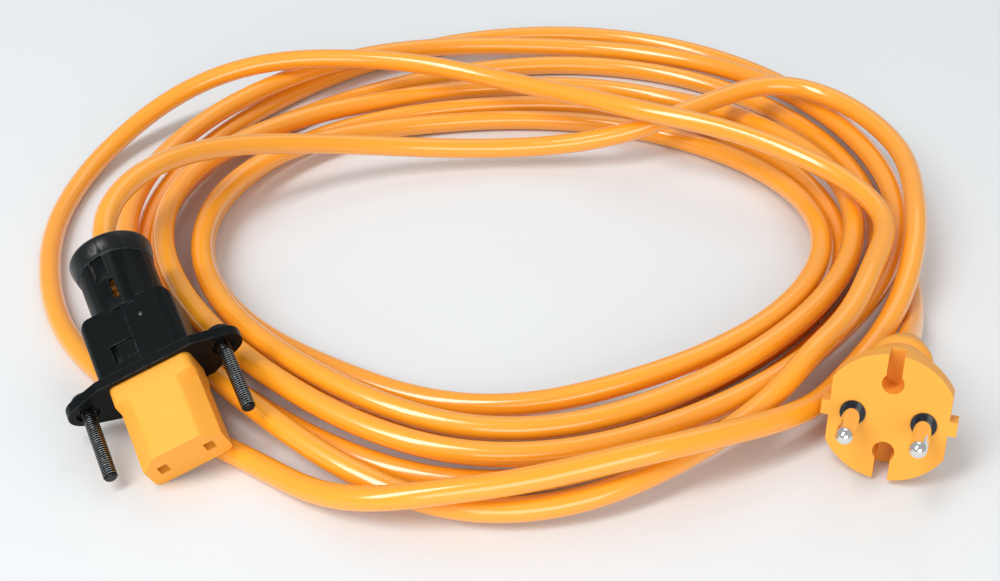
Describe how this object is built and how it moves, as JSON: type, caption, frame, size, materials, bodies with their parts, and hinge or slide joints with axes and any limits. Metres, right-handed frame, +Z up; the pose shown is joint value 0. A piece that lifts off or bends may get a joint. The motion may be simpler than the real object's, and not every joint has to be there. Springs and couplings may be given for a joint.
{
  "type": "power cord with plug and appliance connector",
  "caption": "Wound orange power cord with a flat-faced plug at one end and, at the other, an appliance connector held in a black screw-on bracket.",
  "frame": {"origin": "on the floor, under the middle of the connector and its bracket", "axes": "+Z up; +Y along the longer level side of the connector and bracket, away from the connector's face; the wound cord lies towards +X and +Y"},
  "size_m": [0.2939, 0.2736, 0.0428],
  "materials": {
    "cord_sheath": "smooth glossy orange sheath",
    "connector_moulding": "satin orange moulding with a fine grain",
    "plug_moulding": "satin orange moulding with a fine grain",
    "bracket_plastic": "satin black moulding",
    "screw_steel": "blackened steel, lightly oiled",
    "pin_nickel": "bright nickel plate",
    "bridge_plastic": "glossy black moulding",
    "carrier_plastic": "dull dark red moulding",
    "contact_brass": "bare pressed strip",
    "brown_insulation": "smooth brown insulation",
    "blue_insulation": "smooth blue insulation",
    "copper": "bare stranded copper"
  },
  "bodies": {
    "cord_set": {"cord_connector_lead": "cord_sheath", "cord_coil": "cord_sheath", "cord_plug_lead": "cord_sheath", "connector_body": "connector_moulding", "contact_carrier": "carrier_plastic", "contact_left": "contact_brass", "contact_right": "contact_brass", "connector_core_brown": "brown_insulation", "connector_core_blue": "blue_insulation", "connector_conductor_brown": "copper", "connector_conductor_blue": "copper", "bracket_left_half": "bracket_plastic", "bracket_right_half": "bracket_plastic", "plug_body": "plug_moulding", "pin_bridge": "bridge_plastic", "pin_left": "pin_nickel", "pin_right": "pin_nickel", "plug_core_brown": "brown_insulation", "plug_core_blue": "blue_insulation", "plug_conductor_brown": "copper", "plug_conductor_blue": "copper"},
    "left_screw": {"screw_left": "screw_steel"},
    "right_screw": {"screw_right": "screw_steel"}
  },
  "joints": [
    {"name": "screw_left_turn", "type": "hinge", "parent": "cord_set", "child": "left_screw", "pos_m": [-0.01825, -0.01673, 0.01183], "axis": [0.4181, -0.8572, -0.3007], "continuous": true},
    {"name": "screw_right_turn", "type": "hinge", "parent": "cord_set", "child": "right_screw", "pos_m": [0.01911, -0.00331, 0.02553], "axis": [0.4181, -0.8572, -0.3007], "continuous": true}
  ]
}
